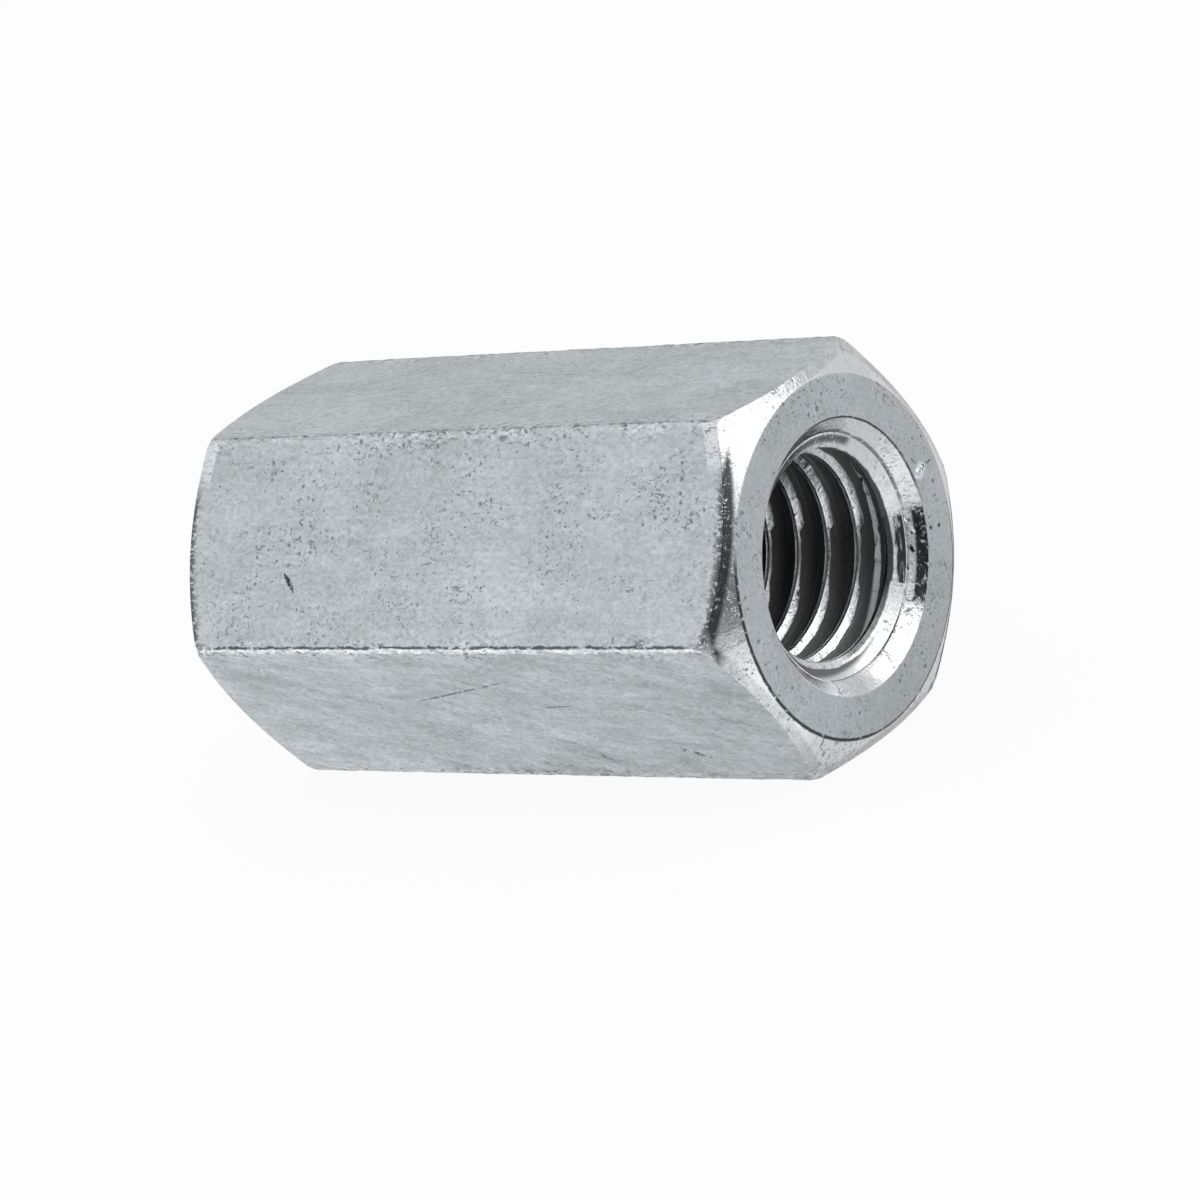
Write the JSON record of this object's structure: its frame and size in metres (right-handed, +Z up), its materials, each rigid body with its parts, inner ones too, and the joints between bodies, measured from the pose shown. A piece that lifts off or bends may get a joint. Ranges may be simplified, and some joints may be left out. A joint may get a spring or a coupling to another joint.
{
  "type": "coupling nut",
  "caption": "Long hexagon coupling nut with a through-tapped M8 bore, for joining threaded rods or bolts end to end.",
  "frame": {"origin": "middle of the nut on the thread axis", "axes": "+X along the thread axis towards the end that the picture shows; +Z up, square to the flat that the nut lies on; +Y across two opposite corners"},
  "size_m": [0.024, 0.0148, 0.0128],
  "materials": {
    "zinc_plated_steel": "bright zinc plating gone matt, with drawing lines, pits and small nicks; darker in the thread"
  },
  "bodies": {
    "root": {"coupling_nut": "zinc_plated_steel"}
  },
  "joints": []
}
